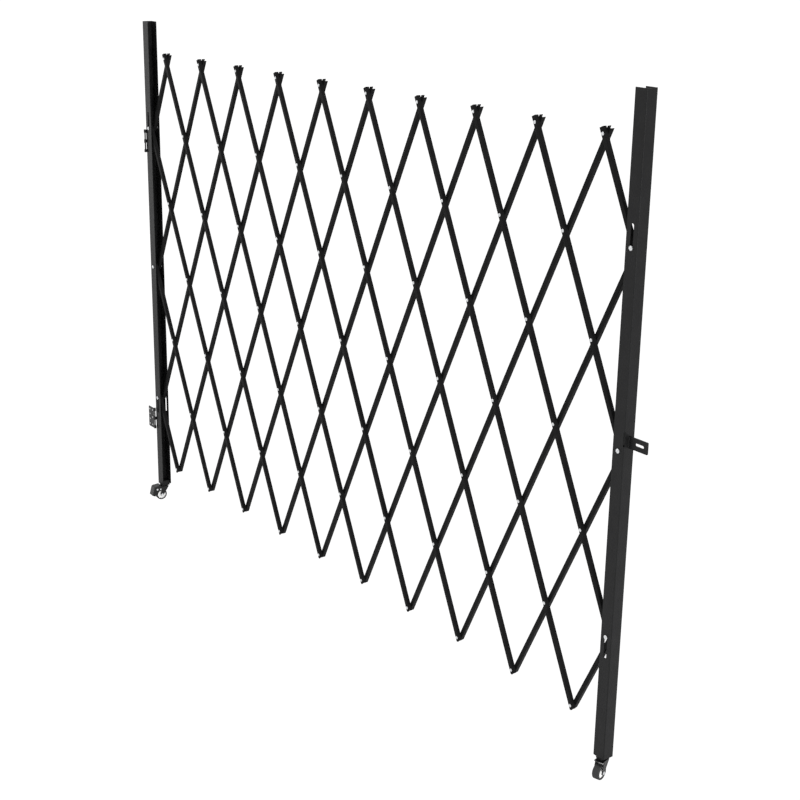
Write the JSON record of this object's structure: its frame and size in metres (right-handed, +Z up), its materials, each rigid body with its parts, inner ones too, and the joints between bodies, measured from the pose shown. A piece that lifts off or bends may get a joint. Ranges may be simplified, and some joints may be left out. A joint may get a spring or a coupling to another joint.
{
  "type": "folding scissor gate",
  "caption": "Folding scissor gate of crossed steel channel bars between two channel posts, on wall hinges and swivelling casters, with a padlock tab.",
  "frame": {"origin": "centre of the four corner screw holes of the lower hinge's wall leaf, on its wall face", "axes": "+Z up, +X along the gate from the hinge post to the lock post, -Y into the wall"},
  "size_m": [2.437, 0.0784, 1.7015],
  "materials": {
    "post_coat": "satin dark grey powder coat",
    "bar_coat": "satin dark grey powder coat",
    "hinge_steel": "satin dark grey coat",
    "zinc": "bright zinc plate",
    "caster_steel": "semi-gloss black",
    "rubber": "matt black",
    "hub_plastic": "satin white"
  },
  "bodies": {
    "lower_wall_leaf": {"lower_wall_leaf": "hinge_steel"},
    "hinge_post": {"left_post": "post_coat", "hinge_post_leaves": "hinge_steel", "hinge_pins": "hinge_steel", "hinge_rivets": "zinc", "left_caster_block": "post_coat"},
    "upper_wall_leaf": {"upper_wall_leaf": "hinge_steel"},
    "falling_bar_02": {"falling_bar_02": "bar_coat", "falling_pivots_02": "zinc"},
    "rising_bar_05": {"rising_bar_05": "bar_coat"},
    "falling_bar_08": {"falling_bar_08": "bar_coat", "falling_pivots_08": "zinc"},
    "rising_bar_11": {"rising_bar_11": "bar_coat"},
    "falling_bar_12": {"falling_bar_12": "bar_coat", "falling_pivots_12": "zinc"},
    "falling_bar_03": {"falling_bar_03": "bar_coat", "falling_pivots_03": "zinc"},
    "falling_bar_04": {"falling_bar_04": "bar_coat", "falling_pivots_04": "zinc"},
    "falling_bar_05": {"falling_bar_05": "bar_coat", "falling_pivots_05": "zinc"},
    "falling_bar_06": {"falling_bar_06": "bar_coat", "falling_pivots_06": "zinc"},
    "falling_bar_07": {"falling_bar_07": "bar_coat", "falling_pivots_07": "zinc"},
    "falling_bar_09": {"falling_bar_09": "bar_coat", "falling_pivots_09": "zinc"},
    "falling_bar_10": {"falling_bar_10": "bar_coat", "falling_pivots_10": "zinc"},
    "falling_bar_11": {"falling_bar_11": "bar_coat", "falling_pivots_11": "zinc"},
    "falling_bar_13": {"falling_bar_13": "bar_coat", "falling_pivots_13": "zinc"},
    "rising_bar_02": {"rising_bar_02": "bar_coat"},
    "rising_bar_03": {"rising_bar_03": "bar_coat"},
    "rising_bar_04": {"rising_bar_04": "bar_coat"},
    "rising_bar_06": {"rising_bar_06": "bar_coat"},
    "rising_bar_07": {"rising_bar_07": "bar_coat"},
    "rising_bar_08": {"rising_bar_08": "bar_coat"},
    "rising_bar_09": {"rising_bar_09": "bar_coat"},
    "rising_bar_10": {"rising_bar_10": "bar_coat"},
    "rising_bar_12": {"rising_bar_12": "bar_coat"},
    "falling_bar_01": {"falling_bar_01": "bar_coat", "falling_pivots_01": "zinc"},
    "rising_bar_01": {"rising_bar_01": "bar_coat"},
    "rising_bar_13": {"rising_bar_13": "bar_coat"},
    "lock_post": {"right_post": "post_coat", "lock_tab": "post_coat", "right_caster_block": "post_coat"},
    "left_caster": {"left_fork": "caster_steel", "left_axle": "zinc", "left_spring_pin": "zinc"},
    "left_wheel": {"left_tyre": "rubber", "left_hub": "hub_plastic"},
    "left_brake": {"left_brake_pedal": "caster_steel", "left_brake_cam": "zinc"},
    "right_caster": {"right_fork": "caster_steel", "right_axle": "zinc"},
    "right_wheel": {"right_tyre": "rubber", "right_hub": "hub_plastic"}
  },
  "joints": [
    {"name": "gate_swing", "type": "hinge", "parent": "lower_wall_leaf", "child": "hinge_post", "pos_m": [0.02525, 0.002, 0], "axis": [0, 0, 1], "range_deg": [-150, 85]},
    {"name": "upper_leaf_fold", "type": "hinge", "parent": "hinge_post", "child": "upper_wall_leaf", "pos_m": [0.02525, 0.002, 0.9975], "axis": [0, 0, 1], "range_deg": [0, 180]},
    {"name": "lattice_fold", "type": "hinge", "parent": "hinge_post", "child": "falling_bar_02", "pos_m": [0.04575, 0.0221, 0.562], "axis": [0, 1, 0], "range_deg": [0, 21]},
    {"name": "rising_bar_05_pivot", "type": "hinge", "parent": "falling_bar_02", "child": "rising_bar_05", "pos_m": [0.39015, 0.0221, -0.158], "axis": [0, 1, 0], "range_deg": [-42, 0]},
    {"name": "falling_bar_08_pivot", "type": "hinge", "parent": "rising_bar_05", "child": "falling_bar_08", "pos_m": [1.07895, 0.0221, 1.282], "axis": [0, 1, 0], "range_deg": [0, 42]},
    {"name": "rising_bar_11_pivot", "type": "hinge", "parent": "falling_bar_08", "child": "rising_bar_11", "pos_m": [1.76775, 0.0221, -0.158], "axis": [0, 1, 0], "range_deg": [-42, 0]},
    {"name": "falling_bar_12_pivot", "type": "hinge", "parent": "rising_bar_11", "child": "falling_bar_12", "pos_m": [2.22695, 0.0221, 0.802], "axis": [0, 1, 0], "range_deg": [0, 42]},
    {"name": "falling_bar_03_pivot", "type": "hinge", "parent": "rising_bar_05", "child": "falling_bar_03", "pos_m": [0.50495, 0.0221, 0.082], "axis": [0, 1, 0], "range_deg": [0, 42]},
    {"name": "falling_bar_04_pivot", "type": "hinge", "parent": "rising_bar_05", "child": "falling_bar_04", "pos_m": [0.61975, 0.0221, 0.322], "axis": [0, 1, 0], "range_deg": [0, 42]},
    {"name": "falling_bar_05_pivot", "type": "hinge", "parent": "rising_bar_05", "child": "falling_bar_05", "pos_m": [0.73455, 0.0221, 0.562], "axis": [0, 1, 0], "range_deg": [0, 42]},
    {"name": "falling_bar_06_pivot", "type": "hinge", "parent": "rising_bar_05", "child": "falling_bar_06", "pos_m": [0.84935, 0.0221, 0.802], "axis": [0, 1, 0], "range_deg": [0, 42]},
    {"name": "falling_bar_07_pivot", "type": "hinge", "parent": "rising_bar_05", "child": "falling_bar_07", "pos_m": [0.96415, 0.0221, 1.042], "axis": [0, 1, 0], "range_deg": [0, 42]},
    {"name": "falling_bar_09_pivot", "type": "hinge", "parent": "rising_bar_11", "child": "falling_bar_09", "pos_m": [1.88255, 0.0221, 0.082], "axis": [0, 1, 0], "range_deg": [0, 42]},
    {"name": "falling_bar_10_pivot", "type": "hinge", "parent": "rising_bar_11", "child": "falling_bar_10", "pos_m": [1.99735, 0.0221, 0.322], "axis": [0, 1, 0], "range_deg": [0, 42]},
    {"name": "falling_bar_11_pivot", "type": "hinge", "parent": "rising_bar_11", "child": "falling_bar_11", "pos_m": [2.11215, 0.0221, 0.562], "axis": [0, 1, 0], "range_deg": [0, 42]},
    {"name": "falling_bar_13_pivot", "type": "hinge", "parent": "rising_bar_11", "child": "falling_bar_13", "pos_m": [2.34175, 0.0221, 1.042], "axis": [0, 1, 0], "range_deg": [0, 42]},
    {"name": "rising_bar_02_pivot", "type": "hinge", "parent": "falling_bar_02", "child": "rising_bar_02", "pos_m": [0.04575, 0.0221, 0.562], "axis": [0, 1, 0], "range_deg": [-42, 0]},
    {"name": "rising_bar_03_pivot", "type": "hinge", "parent": "falling_bar_02", "child": "rising_bar_03", "pos_m": [0.16055, 0.0221, 0.322], "axis": [0, 1, 0], "range_deg": [-42, 0]},
    {"name": "rising_bar_04_pivot", "type": "hinge", "parent": "falling_bar_02", "child": "rising_bar_04", "pos_m": [0.27535, 0.0221, 0.082], "axis": [0, 1, 0], "range_deg": [-42, 0]},
    {"name": "rising_bar_06_pivot", "type": "hinge", "parent": "falling_bar_08", "child": "rising_bar_06", "pos_m": [1.19375, 0.0221, 1.042], "axis": [0, 1, 0], "range_deg": [-42, 0]},
    {"name": "rising_bar_07_pivot", "type": "hinge", "parent": "falling_bar_08", "child": "rising_bar_07", "pos_m": [1.30855, 0.0221, 0.802], "axis": [0, 1, 0], "range_deg": [-42, 0]},
    {"name": "rising_bar_08_pivot", "type": "hinge", "parent": "falling_bar_08", "child": "rising_bar_08", "pos_m": [1.42335, 0.0221, 0.562], "axis": [0, 1, 0], "range_deg": [-42, 0]},
    {"name": "rising_bar_09_pivot", "type": "hinge", "parent": "falling_bar_08", "child": "rising_bar_09", "pos_m": [1.53815, 0.0221, 0.322], "axis": [0, 1, 0], "range_deg": [-42, 0]},
    {"name": "rising_bar_10_pivot", "type": "hinge", "parent": "falling_bar_08", "child": "rising_bar_10", "pos_m": [1.65295, 0.0221, 0.082], "axis": [0, 1, 0], "range_deg": [-42, 0]},
    {"name": "rising_bar_12_pivot", "type": "hinge", "parent": "falling_bar_12", "child": "rising_bar_12", "pos_m": [2.34175, 0.0221, 0.562], "axis": [0, 1, 0], "range_deg": [-42, 0]},
    {"name": "falling_bar_01_pivot", "type": "hinge", "parent": "rising_bar_04", "child": "falling_bar_01", "pos_m": [0.16055, 0.0221, -0.158], "axis": [0, 1, 0], "range_deg": [0, 42]},
    {"name": "rising_bar_01_pivot", "type": "hinge", "parent": "falling_bar_04", "child": "rising_bar_01", "pos_m": [0.16055, 0.0221, 1.282], "axis": [0, 1, 0], "range_deg": [-42, 0]},
    {"name": "rising_bar_13_pivot", "type": "hinge", "parent": "falling_bar_10", "child": "rising_bar_13", "pos_m": [2.22695, 0.0221, -0.158], "axis": [0, 1, 0], "range_deg": [-42, 0]},
    {"name": "lock_post_pivot", "type": "hinge", "parent": "falling_bar_12", "child": "lock_post", "pos_m": [2.34175, 0.0221, 0.562], "axis": [0, 1, 0], "range_deg": [-21, 0]},
    {"name": "left_caster_swivel", "type": "hinge", "parent": "hinge_post", "child": "left_caster", "pos_m": [0.04525, 0.0221, -0.256], "axis": [0, 0, 1], "continuous": true},
    {"name": "left_wheel_roll", "type": "hinge", "parent": "left_caster", "child": "left_wheel", "pos_m": [0.04358, 0.00619, -0.2865], "axis": [0.9945, -0.1045, 0], "continuous": true},
    {"name": "left_brake_tilt", "type": "hinge", "parent": "left_caster", "child": "left_brake", "pos_m": [0.04162, -0.01241, -0.2632], "axis": [0.9945, -0.1045, 0], "range_deg": [0, 8]},
    {"name": "right_caster_swivel", "type": "hinge", "parent": "lock_post", "child": "right_caster", "pos_m": [2.34225, 0.0221, -0.256], "axis": [0, 0, 1], "continuous": true},
    {"name": "right_wheel_roll", "type": "hinge", "parent": "right_caster", "child": "right_wheel", "pos_m": [2.34666, 0.00672, -0.2865], "axis": [0.9613, 0.2756, 0], "continuous": true}
  ],
  "couplings": [
    {"joint": "rising_bar_05_pivot", "follows": "lattice_fold", "ratio": -2},
    {"joint": "falling_bar_08_pivot", "follows": "lattice_fold", "ratio": 2},
    {"joint": "rising_bar_11_pivot", "follows": "lattice_fold", "ratio": -2},
    {"joint": "falling_bar_12_pivot", "follows": "lattice_fold", "ratio": 2},
    {"joint": "falling_bar_03_pivot", "follows": "lattice_fold", "ratio": 2},
    {"joint": "falling_bar_04_pivot", "follows": "lattice_fold", "ratio": 2},
    {"joint": "falling_bar_05_pivot", "follows": "lattice_fold", "ratio": 2},
    {"joint": "falling_bar_06_pivot", "follows": "lattice_fold", "ratio": 2},
    {"joint": "falling_bar_07_pivot", "follows": "lattice_fold", "ratio": 2},
    {"joint": "falling_bar_09_pivot", "follows": "lattice_fold", "ratio": 2},
    {"joint": "falling_bar_10_pivot", "follows": "lattice_fold", "ratio": 2},
    {"joint": "falling_bar_11_pivot", "follows": "lattice_fold", "ratio": 2},
    {"joint": "falling_bar_13_pivot", "follows": "lattice_fold", "ratio": 2},
    {"joint": "rising_bar_02_pivot", "follows": "lattice_fold", "ratio": -2},
    {"joint": "rising_bar_03_pivot", "follows": "lattice_fold", "ratio": -2},
    {"joint": "rising_bar_04_pivot", "follows": "lattice_fold", "ratio": -2},
    {"joint": "rising_bar_06_pivot", "follows": "lattice_fold", "ratio": -2},
    {"joint": "rising_bar_07_pivot", "follows": "lattice_fold", "ratio": -2},
    {"joint": "rising_bar_08_pivot", "follows": "lattice_fold", "ratio": -2},
    {"joint": "rising_bar_09_pivot", "follows": "lattice_fold", "ratio": -2},
    {"joint": "rising_bar_10_pivot", "follows": "lattice_fold", "ratio": -2},
    {"joint": "rising_bar_12_pivot", "follows": "lattice_fold", "ratio": -2},
    {"joint": "falling_bar_01_pivot", "follows": "lattice_fold", "ratio": 2},
    {"joint": "rising_bar_01_pivot", "follows": "lattice_fold", "ratio": -2},
    {"joint": "rising_bar_13_pivot", "follows": "lattice_fold", "ratio": -2},
    {"joint": "lock_post_pivot", "follows": "lattice_fold", "ratio": -1}
  ]
}
